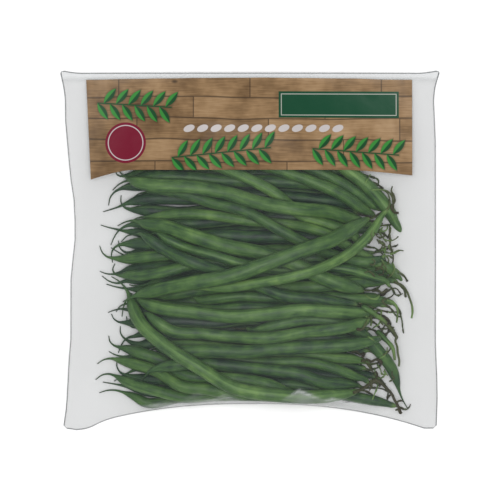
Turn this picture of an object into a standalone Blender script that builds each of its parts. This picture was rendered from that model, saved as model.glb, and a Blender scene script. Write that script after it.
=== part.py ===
"""A bundle of fine green beans in a clear film bag, lying on its back.

Metres, +Z up. The origin is on the surface that the bag lies on, under the
middle of the bag. +Y runs towards the bag's top, and the tails of the pods
point towards -X.
"""

import math
import random

import bmesh
import bpy
import numpy as np

MM = 0.001

# The bag, as it lies
BAG_LEFT = -105.1 * MM
BAG_RIGHT = 105.1 * MM
BAG_TOP = 100.2 * MM
BAG_BOTTOM = -86.2 * MM
# The left edge of the bag: places up the bag, and how far out the edge is there, in millimetres
LEFT_EDGE_LEVELS = (-100.0, -61.0, -33.0, -16.0, 4.0, 18.0, 29.0, 62.0, 85.0, 100.2)
LEFT_EDGE_PLACES = (-104.6, -101.9, -100.8, -100.6, -98.8, -98.5, -99.1, -103.0, -104.2, -105.1)
RIGHT_WAIST = 1.3 * MM
WAIST_REACH = 75.0 * MM
CORNER_DROP = 14.0 * MM
CORNER_REACH = 98.0 * MM
CORNER_CUT = 2.5 * MM
FILM_THICKNESS = 0.6 * MM
SEAM_GAP = 0.3 * MM
SEAM_WIDTH = 1.2 * MM
SEAM_RISE = 4.6 * MM
TOP_SEAM_RISE = 2.6 * MM
FILM_COLUMNS = 18
FILM_ROWS = 17
FILM_CLEARANCE = 0.4 * MM

# The printed label on the front of the bag
LABEL_LEFT = -92.4 * MM
LABEL_RIGHT = 91.4 * MM
LABEL_TOP = 96.4 * MM
LABEL_BOTTOM = 45.5 * MM
LABEL_CORNER_DIP = 5.0 * MM
LABEL_THICKNESS = 0.6 * MM
LABEL_CLEARANCE = 0.5 * MM
LABEL_COLUMNS = 16
LABEL_ROWS = 5

# A bean: a curled tail, the pod, and the stalk that it hung by
POD_RADIUS = 3.6 * MM
TAIL_LENGTHS = (9.0 * MM, 15.0 * MM)
STALK_LENGTHS = (7.0 * MM, 12.0 * MM)
TAIL_SHARES = (1.0, 0.62, 0.28)
POD_SHARES = (0.0, 0.05, 0.12, 0.25, 0.4, 0.55, 0.7, 0.84, 0.94, 1.0)
STALK_SHARES = (0.16, 0.34, 0.68, 1.0)
TAIL_THICKNESS = (0.14, 0.15, 0.17)
POD_THICKNESS = (0.3, 0.7, 0.92, 1.0, 1.0, 1.0, 0.99, 0.95, 0.8, 0.5)
STALK_THICKNESS = (0.5, 0.3, 0.24, 0.3)

# The pile of beans
BEAN_GAP = 0.45 * MM
FLOOR = FILM_THICKNESS + BEAN_GAP
HIDDEN_LAYERS = 2
HIDDEN_ROWS = 13
HIDDEN_LOW = -75.0
HIDDEN_HIGH = 58.0
SEED = 7

# The beans on the front of the pile, lowest first. Each has four places across
# the bag, in millimetres, that its pod runs through from tail to stalk, then
# its girth as a share of POD_RADIUS, and the turns in degrees of its tail and
# of its stalk.
FRONT_BEANS = (
    ((-71, -78.5), (-48, -82), (-11, -82), (45, -82), 0.75, 40, -20),
    ((-76, -70), (-56, -76.5), (-34, -80.5), (28, -81), 0.8, 70, 30),
    ((-42, -75), (0, -76.5), (45, -78.5), (81, -85.5), 0.8, -60, -10),
    ((-77, -61.5), (-56, -68.5), (-31, -76.5), (22, -81), 0.85, 60, 20),
    ((-75, -55), (-56, -62), (-31, -71.5), (22, -78.5), 0.85, -80, 40),
    ((-50, -67), (-21, -65), (28, -69.5), (60, -78), 0.9, 70, 30),
    ((-48, -53), (0, -57), (28, -62), (63, -65.5), 0.8, -70, 40),
    ((-39, -60), (0, -62), (34, -66), (64, -70.5), 0.75, 60, -50),
    ((83, -78), (75, -58), (53, -40), (0, -43), 0.85, 20, -40),
    ((-76, -6.5), (-56, -11), (-28, -10.5), (39, -6), 0.85, -60, -60),
    ((-74, -14.5), (-50, -14.5), (-22, -13), (45, -9.5), 0.9, -120, 40),
    ((-56, -15.5), (-6, -18), (39, -16), (80, -13.5), 0.8, -60, -70),
    ((-57, -23), (-17, -22), (28, -20.5), (81, -18.5), 0.95, 60, -100),
    ((-34, -25), (22, -25), (53, -26), (79, -29.5), 0.75, 40, -70),
    ((-56, -30), (-21, -28.5), (22, -28), (74, -30), 0.8, -40, -60),
    ((-57, 17.5), (-28, 17), (11, 12), (77, -13), 0.75, 60, -40),
    ((-52, 6.5), (-20, -6), (11, -10.5), (76, -17.5), 0.75, 50, -60),
    ((-55, 36.5), (-8, 24), (25, 6), (71, -8.5), 0.8, 60, -40),
    ((-52, 55.5), (-3, 43), (22, 30), (62, 3.5), 0.85, -50, 30),
    ((-53, 57.5), (10, 44), (41, 32.5), (68, 19.5), 0.85, 60, -60),
    ((-34, 62), (17, 51), (46, 38.5), (71, 23), 0.85, -50, 50),
    ((-34, 64), (20, 60), (57, 38), (77, 19.5), 1.0, 40, 0),
    ((-50, -54), (-11, -53), (28, -50.5), (68, -50), 1.0, 70, 60),
    ((-63, -27.5), (-28, -36.5), (22, -36), (67, -33.5), 1.0, 60, -40),
    ((-57, -36), (-28, -44), (22, -43), (66, -34), 0.95, 80, -60),
    ((-63, 14.5), (-28, 4.5), (2, -3), (60, -22), 1.08, 50, 40),
    ((-61, 9), (-33, -5), (-14, -14.5), (56, -28.5), 0.9, 80, 20),
    ((-68, 41.5), (-17, 32), (34, 22), (67, 15), 1.03, -50, 30),
    ((-68, -23), (-50, -52.5), (-14, -73), (57, -77.5), 0.98, 40, -40),
    ((-44, -19), (7, -15), (54, -0.5), (74, 22), 0.75, 40, 50),
    ((-63, -26), (-25, -19), (24, -6), (63, 16), 1.08, 70, 20),
)


def clear_scene():
    for thing in list(bpy.data.objects):
        bpy.data.objects.remove(thing)


def material(name, colour, roughness, alpha=1.0):
    made = bpy.data.materials.new(name)
    made.use_nodes = True
    shader = made.node_tree.nodes["Principled BSDF"]
    shader.inputs["Base Color"].default_value = (*colour, 1.0)
    shader.inputs["Roughness"].default_value = roughness
    shader.inputs["Metallic"].default_value = 0.0
    shader.inputs["Alpha"].default_value = alpha
    return made


def bag_bottom(x):
    return BAG_BOTTOM - CORNER_DROP * np.minimum(np.abs(x) / CORNER_REACH, 1) ** 2.4


def bag_left(y):
    return np.interp(y / MM, LEFT_EDGE_LEVELS, LEFT_EDGE_PLACES) * MM


def bag_right(y):
    return BAG_RIGHT - RIGHT_WAIST * np.maximum(1 - ((y - 20 * MM) / WAIST_REACH) ** 2, 0)


def arc_of(start, heading, length, turn, shares):
    """Points at these shares of an arc that leaves start and turns as it goes."""
    points = []
    for share in shares:
        bend = turn * share
        chord = length * share * (math.sin(bend / 2) / (bend / 2) if bend else 1.0)
        way = heading + bend / 2
        points.append(start + chord * np.array([math.cos(way), math.sin(way)]))
    return points


def through(places):
    """The curve through four places, as a function of the share of the way along it."""
    places = np.array(places) * MM
    steps = np.linalg.norm(np.diff(places, axis=0), axis=1)
    at = np.concatenate([[0], np.cumsum(steps)]) / steps.sum()

    def curve(share):
        point = np.zeros(2)
        for one in range(4):
            others = [other for other in range(4) if other != one]
            weight = math.prod((share - at[other]) / (at[one] - at[other]) for other in others)
            point += weight * places[one]
        return point

    return curve


def bean_line(bean, height, draw):
    """The centreline of one bean, from the tip of its tail to the end of its stalk."""
    *places, _, tail_turn, stalk_turn = bean
    pod = through(places)

    def heading(share, next_share):
        step = pod(next_share) - pod(share)
        return math.atan2(step[1], step[0])

    back, ahead = heading(0.03, 0.0), heading(0.97, 1.0)
    tail_length, stalk_length = draw.uniform(*TAIL_LENGTHS), draw.uniform(*STALK_LENGTHS)
    tail = arc_of(pod(0.0), back, tail_length, math.radians(tail_turn), TAIL_SHARES)
    stalk = arc_of(pod(1.0), ahead, stalk_length, math.radians(stalk_turn), STALK_SHARES)
    flat = [*tail, *(pod(share) for share in POD_SHARES), *stalk]
    return np.array([[x, y, height] for x, y in flat])


def bean_radii(girth):
    """The tail and the stalk are alike on every bean, and the pod is as stout as its girth."""
    pod = np.array(POD_THICKNESS) * girth
    return POD_RADIUS * np.concatenate([TAIL_THICKNESS, pod, STALK_THICKNESS])


def hidden_beans(draw):
    """The layers under the front beans: one bean in each row, a little out of line."""
    beans = []
    for layer in range(HIDDEN_LAYERS):
        for row in range(HIDDEN_ROWS):
            share = (row + layer / HIDDEN_LAYERS) / (HIDDEN_ROWS - 1 / HIDDEN_LAYERS)
            y = HIDDEN_LOW + (HIDDEN_HIGH - HIDDEN_LOW) * share
            middle, half = draw.uniform(-7, 2), draw.uniform(64, 71)
            places = []
            for along in (-1, -1 / 3, 1 / 3, 1):
                off = np.clip(y + draw.uniform(-3, 3), HIDDEN_LOW - 2, HIDDEN_HIGH)
                places.append((middle + along * half, off))
            girth, tail, stalk = draw.uniform(0.88, 1.04), draw.uniform(-110, 110), draw.uniform(-80, 80)
            beans.append((*places, girth, tail, stalk))
    return beans


def nearest_on_segments(p, dp, q, dq):
    """How far along segments p + s dp and q + t dq their nearest points lie."""
    gap = p - q
    a, e, b = (dp * dp).sum(1), (dq * dq).sum(1), (dp * dq).sum(1)
    c, f = (dp * gap).sum(1), (dq * gap).sum(1)
    s = np.clip((b * f - c * e) / np.maximum(a * e - b * b, 1e-18), 0, 1)
    t = np.clip((b * s + f) / e, 0, 1)
    s = np.clip((b * t - c) / a, 0, 1)
    return s, t


class Pile:
    """The centrelines of the beans, sunk together and moved apart until no two beans touch."""

    NEAR = 6.0 * MM
    PUSH = 0.4
    SIDEWAYS = 0.5

    def __init__(self, lines, radii):
        self.points = np.array(lines)
        self.start = self.points.copy()
        self.radii = np.array(radii)
        count, knots, _ = self.points.shape
        self.first = (np.arange(count)[:, None] * knots + np.arange(knots - 1)).ravel()
        self.bean = self.first // knots
        self.pairs = (np.zeros(0, int), np.zeros(0, int))

    def find_pairs(self):
        flat = self.points.reshape(-1, 3)
        middle = (flat[self.first] + flat[self.first + 1]) / 2
        half = np.linalg.norm(flat[self.first + 1] - flat[self.first], axis=1) / 2
        reach = half + self.radii.ravel()[self.first] + self.NEAR
        far = np.linalg.norm(middle[:, None] - middle[None], axis=2)
        close = far < reach[:, None] + reach[None]
        close &= self.bean[:, None] < self.bean[None]
        a, b = np.nonzero(close)
        self.pairs = self.first[a], self.first[b]

    def gaps(self):
        """The clear distance in each near pair of segments, and what lies where."""
        flat, radius = self.points.reshape(-1, 3), self.radii.ravel()
        a, b = self.pairs
        da, db = flat[a + 1] - flat[a], flat[b + 1] - flat[b]
        s, t = nearest_on_segments(flat[a], da, flat[b], db)
        apart = flat[a] + da * s[:, None] - flat[b] - db * t[:, None]
        far = np.linalg.norm(apart, axis=1)
        thick = radius[a] * (1 - s) + radius[a + 1] * s + radius[b] * (1 - t) + radius[b + 1] * t
        return far - thick, apart / np.maximum(far, 1e-9)[:, None], s, t

    def part_beans(self):
        clear, way, s, t = self.gaps()
        short = np.maximum(BEAN_GAP - clear, 0)
        push = way * (short * self.PUSH)[:, None]
        push[:, :2] *= self.SIDEWAYS
        moved = np.zeros_like(self.points.reshape(-1, 3))
        a, b = self.pairs
        shares = ((a, 1 - s), (a + 1, s), (b, t - 1), (b + 1, -t))
        for at, share in shares:
            amount = push * share[:, None]
            for axis in range(3):
                moved[:, axis] += np.bincount(at, amount[:, axis], len(moved))
        self.points += moved.reshape(self.points.shape)

    def stay_in_bag(self):
        x, y, z = self.points[:, :, 0], self.points[:, :, 1], self.points[:, :, 2]
        keep = self.radii + SEAM_WIDTH + FILM_THICKNESS / 2 + 2 * FILM_CLEARANCE
        self.points[:, :, 2] = np.maximum(z, FLOOR + self.radii)
        self.points[:, :, 1] = np.maximum(y, bag_bottom(x) + keep)
        self.points[:, :, 0] = np.clip(x, bag_left(y) + keep, bag_right(y) - keep)

    def stiffen(self):
        """A bean bends only gently, so its shift is evened out along its length."""
        shift = self.points - self.start
        even = shift.copy()
        even[:, 1:-1] = (shift[:, :-2] + 2 * shift[:, 1:-1] + shift[:, 2:]) / 4
        even[:, 0] = (2 * shift[:, 1] - shift[:, 2] + shift[:, 0]) / 2
        even[:, -1] = (2 * shift[:, -2] - shift[:, -3] + shift[:, -1]) / 2
        self.points = self.start + even

    def settle(self, drops, drop, rests):
        for step in range(drops + rests):
            if step % 8 == 0:
                self.find_pairs()
            if step < drops:
                self.points[:, :, 2] -= drop
                self.stiffen()
            self.part_beans()
            self.stay_in_bag()
        self.find_pairs()
        return float(self.gaps()[0].min())


def pile_beans():
    draw = random.Random(SEED)
    hidden = hidden_beans(draw)
    beans = hidden + list(FRONT_BEANS)
    lines = []
    for index, bean in enumerate(beans):
        front = index - len(hidden)
        layer = index // HIDDEN_ROWS if front < 0 else HIDDEN_LAYERS + front * 0.22
        lines.append(bean_line(bean, FLOOR + POD_RADIUS * (1.1 + 2.3 * layer), draw))
    pile = Pile(lines, [bean_radii(bean[4]) for bean in beans])
    least = pile.settle(drops=280, drop=0.3 * MM, rests=240)
    print(f"smallest gap between two beans: {least / MM:.2f} mm")
    return pile


def bean_object(name, points, radii, look):
    curve = bpy.data.curves.new(name, "CURVE")
    curve.dimensions = "3D"
    curve.twist_mode = "Z_UP"
    curve.bevel_depth = 1.0
    curve.bevel_resolution = 1
    curve.use_fill_caps = True
    curve.materials.append(look)
    spline = curve.splines.new("POLY")
    spline.points.add(len(points) - 1)
    for knot, place, radius in zip(spline.points, points, radii):
        knot.co = (*place, 1.0)
        knot.radius = radius
    spline.use_smooth = True
    bean = bpy.data.objects.new(name, curve)
    bpy.context.scene.collection.objects.link(bean)
    return bean


class Sheet:
    """A thin sheet on a grid of triangles, whose heights are found by pulling it taut."""

    LAST_PASSES = 80

    def __init__(self, columns, rows, place):
        self.mesh = bmesh.new()
        bmesh.ops.create_grid(self.mesh, x_segments=columns, y_segments=rows, size=1.0)
        for vert in self.mesh.verts:
            vert.co = place(vert.co.x, vert.co.y)
        bmesh.ops.triangulate(self.mesh, faces=self.mesh.faces[:])
        self.mesh.verts.index_update()
        self.at = np.array([vert.co for vert in self.mesh.verts])
        self.triangles = np.array([[vert.index for vert in face.verts] for face in self.mesh.faces])
        self.edge = np.array([vert.is_boundary for vert in self.mesh.verts])
        links = np.array([[vert.index for vert in line.verts] for line in self.mesh.edges])
        self.links = np.concatenate([links, links[:, ::-1]])

    def locate(self, points):
        """The corners of the triangle that each point is over, and its share of each corner."""
        corners = np.zeros((len(points), 3), int)
        shares = np.full((len(points), 3), np.nan)
        order = np.argsort(points[:, 0])
        across = points[order, 0]
        for triangle in self.triangles:
            a, b, c = self.at[triangle][:, :2]
            low, high = min(a[0], b[0], c[0]), max(a[0], b[0], c[0])
            some = order[np.searchsorted(across, low):np.searchsorted(across, high)]
            s, t = np.linalg.solve(np.stack([b - a, c - a], axis=1), (points[some, :2] - a).T)
            inside = (s >= -1e-6) & (t >= -1e-6) & (s + t <= 1 + 1e-6)
            corners[some[inside]] = triangle
            shares[some[inside]] = np.stack([1 - s - t, s, t], axis=1)[inside]
        over = ~np.isnan(shares[:, 0])
        return over, corners[over], shares[over]

    def relax(self, limits, side, passes, sink=0.0, lowest=-1.0):
        """Pull the sheet taut, but keep it above (side 1) or below (side -1) the limits."""
        over, corners, shares = self.locate(limits)
        wanted = limits[over, 2]
        free = ~self.edge
        pull = shares * free[corners]
        strength = (pull ** 2).sum(1) + 1e-6
        height = self.at[:, 2]
        start, end = self.links.T
        number = np.bincount(start, minlength=len(height))
        for step in range(passes + self.LAST_PASSES):
            if step < passes:
                mean = np.bincount(start, height[end], len(height)) / number
                height[free] = mean[free] - sink
            short = np.maximum(side * (wanted - (height[corners] * shares).sum(1)), 0)
            move = np.zeros(len(height))
            np.maximum.at(move, corners, (short / strength)[:, None] * pull)
            height[free] = np.maximum(height[free] + side * move[free], lowest)
        return float(short.max())

    def finish(self, name, thickness, look):
        for vert, z in zip(self.mesh.verts, self.at[:, 2]):
            vert.co.z = z
        data = bpy.data.meshes.new(name)
        self.mesh.to_mesh(data)
        self.mesh.free()
        data.materials.append(look)
        for face in data.polygons:
            face.use_smooth = True
        sheet = bpy.data.objects.new(name, data)
        bpy.context.scene.collection.objects.link(sheet)
        thicken = sheet.modifiers.new("thickness", "SOLIDIFY")
        thicken.thickness = thickness
        thicken.offset = 0.0
        return sheet


def seam_height(u, v):
    """The seam stands off the surface at the middle of each side and meets it at the corners."""
    rise = SEAM_RISE + (TOP_SEAM_RISE - SEAM_RISE) * max(v, 0) ** 4
    along = min(abs(u), abs(v))
    return FILM_THICKNESS + SEAM_GAP / 2 + rise * (1 - along ** 2)


def film_place(side):
    """Where a point of the flat grid lies on the film, with a narrow seam all round."""
    inner_u = 1 - 2 / FILM_COLUMNS
    inner_v = 1 - 2 / FILM_ROWS
    seam_u = 2 * SEAM_WIDTH / (BAG_RIGHT - BAG_LEFT)
    seam_v = 2 * SEAM_WIDTH / (BAG_TOP - BAG_BOTTOM)

    def spread(value, inner, seam):
        return math.copysign(1.0, value) if abs(value) > inner + 1e-6 else value / inner * (1 - seam)

    def place(u, v):
        u, v = spread(u, inner_u, seam_u), spread(v, inner_v, seam_v)
        level = BAG_BOTTOM + (BAG_TOP - BAG_BOTTOM) * (v + 1) / 2
        x = bag_left(level) + (bag_right(level) - bag_left(level)) * (u + 1) / 2
        y = bag_bottom(x) + (BAG_TOP - bag_bottom(x)) * (v + 1) / 2
        if abs(u) == 1 and abs(v) == 1:
            x, y = x - u * CORNER_CUT / 2, y - v * CORNER_CUT / 2
        z = seam_height(u, v) + side * (FILM_THICKNESS + SEAM_GAP) / 2
        return x, y, z

    return place


def bean_envelope(pile, side):
    """Where the beans' upper or lower sides reach, swollen by the room that the film needs.

    One point is kept in each square millimetre, the outermost.
    """
    swell = FILM_THICKNESS / 2 + FILM_CLEARANCE
    points = []
    for line, radii in zip(pile.points, pile.radii):
        steps = np.arange(0, len(line) - 1, 0.08)
        knots = np.arange(len(line))
        centre = np.stack([np.interp(steps, knots, line[:, axis]) for axis in range(3)], axis=1)
        radius = np.interp(steps, knots, radii) + swell
        ahead = np.gradient(centre[:, :2], axis=0)
        ahead /= np.linalg.norm(ahead, axis=1)[:, None]
        for angle in np.linspace(0, math.pi, 13):
            across = np.stack([-ahead[:, 1], ahead[:, 0]], axis=1) * (radius * math.cos(angle))[:, None]
            height = centre[:, 2] + side * radius * math.sin(angle)
            points.append(np.column_stack([centre[:, :2] + across, height]))
    points = np.concatenate(points)
    squares = np.floor(points[:, :2] / MM).astype(int) @ np.array([1000, 1])
    order = np.lexsort([side * points[:, 2], squares])
    outermost = np.append(np.diff(squares[order]) != 0, True)
    return points[order[outermost]]


def build_films(pile):
    front = Sheet(FILM_COLUMNS, FILM_ROWS, film_place(1))
    back = Sheet(FILM_COLUMNS, FILM_ROWS, film_place(-1))
    short = front.relax(bean_envelope(pile, 1), 1, passes=300)
    print(f"front film: at most {short / MM:.3f} mm short of its room")
    lying = FILM_THICKNESS / 2
    short = back.relax(bean_envelope(pile, -1), -1, passes=300, sink=0.05 * MM, lowest=lying)
    print(f"back film: at most {short / MM:.3f} mm short of its room")
    return front, back


def build_label(film, look):
    def place(u, v):
        x = LABEL_LEFT + (LABEL_RIGHT - LABEL_LEFT) * (u + 1) / 2
        bottom = LABEL_BOTTOM - LABEL_CORNER_DIP * abs(u) ** 4
        y = bottom + (LABEL_TOP - bottom) * (v + 1) / 2
        return x, y, 0.0

    label = Sheet(LABEL_COLUMNS, LABEL_ROWS, place)
    room = (FILM_THICKNESS + LABEL_THICKNESS) / 2 + LABEL_CLEARANCE
    xs = np.arange(LABEL_LEFT - 1 * MM, LABEL_RIGHT + 1 * MM, 1 * MM)
    ys = np.arange(LABEL_BOTTOM - LABEL_CORNER_DIP - 1 * MM, LABEL_TOP + 1 * MM, 1 * MM)
    spots = np.array([[x, y, 0.0] for x in xs for y in ys])
    spots = np.concatenate([spots, label.at])
    over, corners, shares = film.locate(spots)
    spots = spots[over]
    spots[:, 2] = (film.at[corners, 2] * shares).sum(1) + room
    label.at[:, 2] = spots[-len(label.at):, 2]
    label.edge[:] = False
    label.relax(spots, 1, passes=0)
    return label.finish("header_label", LABEL_THICKNESS, look)


def build():
    clear_scene()
    greens = [
        material("pod_mid_green", (0.075, 0.19, 0.045), 0.45),
        material("pod_dark_green", (0.05, 0.135, 0.035), 0.45),
        material("pod_light_green", (0.11, 0.25, 0.06), 0.45),
    ]
    film = material("clear_film", (0.86, 0.87, 0.88), 0.15, alpha=0.3)
    print_on_film = material("printed_film", (0.26, 0.16, 0.09), 0.4)

    pile = pile_beans()
    for index, (line, radii) in enumerate(zip(pile.points, pile.radii)):
        bean_object(f"bean_{index + 1:02d}", line, radii, greens[index % len(greens)])
    front, back = build_films(pile)
    build_label(front, print_on_film)
    front.finish("film_front", FILM_THICKNESS, film)
    back.finish("film_back", FILM_THICKNESS, film)


build()
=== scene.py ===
# %% [markdown]
# # A bundle of fine green beans in a clear film bag
#
# The bag lies on its back and holds fine beans laid side by side, with their
# thin tails to the left and their dried stalks to the right. A printed band
# crosses the top of the bag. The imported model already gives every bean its
# place, so this lesson makes each one finer where it lies.
# It then lays a limp film over the pile.

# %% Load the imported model
import math
import random

import bmesh
import bpy
import numpy as np
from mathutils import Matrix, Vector, noise
from mathutils.bvhtree import BVHTree


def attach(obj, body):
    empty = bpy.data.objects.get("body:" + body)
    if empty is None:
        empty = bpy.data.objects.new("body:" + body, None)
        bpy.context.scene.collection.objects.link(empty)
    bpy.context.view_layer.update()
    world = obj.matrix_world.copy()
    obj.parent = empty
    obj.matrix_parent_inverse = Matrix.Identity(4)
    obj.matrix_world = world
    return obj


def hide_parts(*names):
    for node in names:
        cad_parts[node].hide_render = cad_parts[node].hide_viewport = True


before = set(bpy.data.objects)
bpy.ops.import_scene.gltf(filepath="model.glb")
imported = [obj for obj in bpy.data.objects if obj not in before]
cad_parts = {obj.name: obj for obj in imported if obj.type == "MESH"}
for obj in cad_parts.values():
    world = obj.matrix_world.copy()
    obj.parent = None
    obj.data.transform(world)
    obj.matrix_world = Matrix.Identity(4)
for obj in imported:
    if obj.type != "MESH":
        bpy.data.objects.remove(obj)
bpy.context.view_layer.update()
MM = 0.001
bean_names = sorted(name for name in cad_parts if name.startswith("bean_"))

# %% [markdown]
# ## Small helpers
#
# Colours are written as the sRGB hex values that a colour picker shows.
# Blender's shaders work with linear light, so one function converts them.
# Another adds a shader node with its settings and links in a single line,
# which keeps each material short enough to read from top to bottom.

# %% Colours and nodes


def linear(hex_colour):
    """The linear light of a colour that is written as a colour picker shows it."""
    parts = [int(hex_colour[place:place + 2], 16) / 255 for place in (1, 3, 5)]
    return (*(c / 12.92 if c <= 0.04045 else ((c + 0.055) / 1.055) ** 2.4 for c in parts), 1.0)


def add_node(material, kind, settings=None, **links):
    """Adds a node. A link is named after its input, or after in_ and the input's number.

    The setting stops fills a ramp with places and their colours, or with places and plain amounts.
    """
    tree = material.node_tree
    node = tree.nodes.new("ShaderNode" + kind)
    for key, value in (settings or {}).items():
        if key == "stops":
            marks = node.color_ramp.elements
            while len(marks) < len(value):
                marks.new(0.5)
            for mark, (place, shown) in zip(marks, value):
                mark.position = place
                mark.color = linear(shown) if isinstance(shown, str) else (shown, shown, shown, 1.0)
        elif isinstance(key, int) or key in node.inputs:
            node.inputs[key].default_value = value
        else:
            setattr(node, key, value)
    for key, source in links.items():
        place = int(key[3:]) if key.startswith("in_") else key.replace("_", " ")
        socket = source if isinstance(source, bpy.types.NodeSocket) else source.outputs[0]
        tree.links.new(socket, node.inputs[place])
    return node


def new_material(name, settings):
    material = bpy.data.materials.new(name)
    material.use_nodes = True
    shader = material.node_tree.nodes["Principled BSDF"]
    for key, value in settings.items():
        shader.inputs[key].default_value = value
    return material, shader


def join_to(material, source, shader, place):
    """Links a node, or one of its outputs, to an input of the shader."""
    socket = source if isinstance(source, bpy.types.NodeSocket) else source.outputs[0]
    material.node_tree.links.new(socket, shader.inputs[place])


print("linear mid grey:", [round(c, 3) for c in linear("#808080")])

# %% [markdown]
# ## The skin of a bean
#
# A fresh bean pod has a waxy skin: mid green, mottled and streaked, and darker
# towards the tail. A seam runs down each side, where the two halves of the pod
# meet. Only the paler one, which the seeds hang from, is drawn. The tail dries
# to olive, and the cap and the stalk turn from pale green to brown.
# The skin is soft to the light, so a little light scatters under it.
# Each bean carries its own numbers in two attributes: where a point lies
# round and along the pod, and how dark and how dry that bean is.

# %% The green of a pod
# The pores are drawn coarser than they are, so that they show
MOTTLE_SIZE, STREAK_LENGTH, PORE_SIZE = 6.667 * MM, 12.82 * MM, 1.111 * MM
STREAKS_ROUND = 2.6
pod_skin, shader = new_material("fresh_bean_pod_waxy_skin", {
    "Roughness": 0.5,
    "IOR": 1.45,
    "Specular IOR Level": 0.32,
    "Subsurface Weight": 0.06,
    "Subsurface Radius": (1.0 * MM, 1.6 * MM, 0.6 * MM),
    "Subsurface Scale": 1.0,
    "Coat Weight": 0.04,
    "Coat Roughness": 0.4,
})
place = add_node(pod_skin, "Attribute", {"attribute_name": "pod_place"})
kind = add_node(pod_skin, "Attribute", {"attribute_name": "pod_kind"})
around = add_node(pod_skin, "SeparateXYZ", Vector=place.outputs["Vector"])
kind_parts = add_node(pod_skin, "SeparateXYZ", Vector=kind.outputs["Vector"])
shade_of_bean, share_along, dryness = kind_parts.outputs
spot = add_node(pod_skin, "TexCoord").outputs["Object"]

# Mottling a few millimetres across, and streaks along the pod
mottle = add_node(pod_skin, "TexNoise", {"Scale": 1 / MOTTLE_SIZE, "Detail": 3.0, "Roughness": 0.5},
                  Vector=spot)
drawn_out = {"operation": "MULTIPLY", 1: (1, 1, 1 / (STREAKS_ROUND * STREAK_LENGTH))}
streak_place = add_node(pod_skin, "VectorMath", drawn_out, in_0=place.outputs["Vector"])
streaks = add_node(pod_skin, "TexNoise", {"Scale": STREAKS_ROUND, "Detail": 3.0}, Vector=streak_place)
blend = add_node(pod_skin, "Mix", {"data_type": "FLOAT", "Factor": 0.48}, in_2=mottle, in_3=streaks)
vivid = add_node(pod_skin, "MapRange", {"From Min": 0.16, "From Max": 0.84}, Value=blend)
shifted = add_node(pod_skin, "Math", {"operation": "ADD"}, in_0=vivid, in_1=shade_of_bean)
greens = add_node(pod_skin, "ValToRGB", {"stops": [
    (0.1, "#182b22"), (0.3, "#274328"), (0.5, "#3c5d2c"), (0.7, "#507138"), (0.95, "#6e8e48"),
]}, Fac=shifted)
print("mottling", round(MOTTLE_SIZE / MM, 1), "mm across, streaks", round(STREAK_LENGTH / MM, 1), "mm long")

# %% Seam and dry ends
# The seam that the seeds hang from: a narrow paler line along the pod
seam = add_node(pod_skin, "MapRange", {"From Min": 0.93, "From Max": 0.99}, Value=around)
seam_share = add_node(pod_skin, "Math", {"operation": "MULTIPLY", 1: 0.22}, in_0=seam)
seamed = add_node(pod_skin, "Mix", {"data_type": "RGBA", 7: linear("#86ad62")}, in_0=seam_share, in_6=greens)

# From the tail's dry tip, along the pod, to the withered stalk
ends = add_node(pod_skin, "ValToRGB", {"stops": [
    (0.0, "#2c3a25"), (0.1, "#2a4c27"), (0.2, "#33592a"), (0.86, "#6c8d47"), (0.9, "#7d9c55"),
    (0.93, "#4d4d2c"), (1.0, "#35291d"),
]}, Fac=share_along)
end_amount = add_node(pod_skin, "ValToRGB", {"stops": [
    (0.0, 0.9), (0.1, 0.55), (0.2, 0.0), (0.875, 0.0), (0.905, 0.6), (1.0, 0.95),
]}, Fac=share_along)
dry_share = add_node(pod_skin, "Math", {"operation": "MULTIPLY"}, in_0=end_amount, in_1=dryness)
aged = add_node(pod_skin, "Mix", {"data_type": "RGBA"}, in_0=dry_share, in_6=seamed.outputs[2], in_7=ends)
join_to(pod_skin, aged.outputs[2], shader, "Base Color")
print("dry share at the tail's tip", round(end_amount.color_ramp.elements[0].color[0], 2))

# %% Pores and gloss
# Fine pores catch the light, and dry ends are duller than the waxy pod
pores = add_node(pod_skin, "TexNoise", {"Scale": 1 / PORE_SIZE, "Detail": 2.0}, Vector=spot)
relief = add_node(pod_skin, "Math", {"operation": "MULTIPLY"}, in_0=mottle, in_1=pores)
bump = add_node(pod_skin, "Bump", {"Strength": 0.35, "Distance": 0.3 * MM}, Height=relief)
join_to(pod_skin, bump, shader, "Normal")
dull = add_node(pod_skin, "MapRange", {"To Min": 0.5, "To Max": 0.75}, Value=dry_share)
join_to(pod_skin, dull, shader, "Roughness")
print("pod skin has", len(pod_skin.node_tree.nodes), "nodes")

# %% [markdown]
# ## Where each bean lies
#
# A packed bean is a coarse six-sided tube, from its tail to its stalk. Merging
# its loose triangles lets us walk from one end to the other, ring by ring.
# The middle of each ring is a point on the bean's centreline, and the size
# of the ring is its girth there. A smooth curve through those points is
# the path for a finer bean.

# %% Read a centreline from a packed bean
RING_SIDES = 6
MERGE_DISTANCE = 0.01 * MM


def steps_from(start, links):
    """How many edges away every vertex is from the nearest of these."""
    far = {vert: 0 for vert in start}
    edge = list(start)
    while edge:
        reached = []
        for vert in edge:
            for other in links[vert]:
                if other not in far:
                    far[other] = far[vert] + 1
                    reached.append(other)
        edge = reached
    return far


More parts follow.
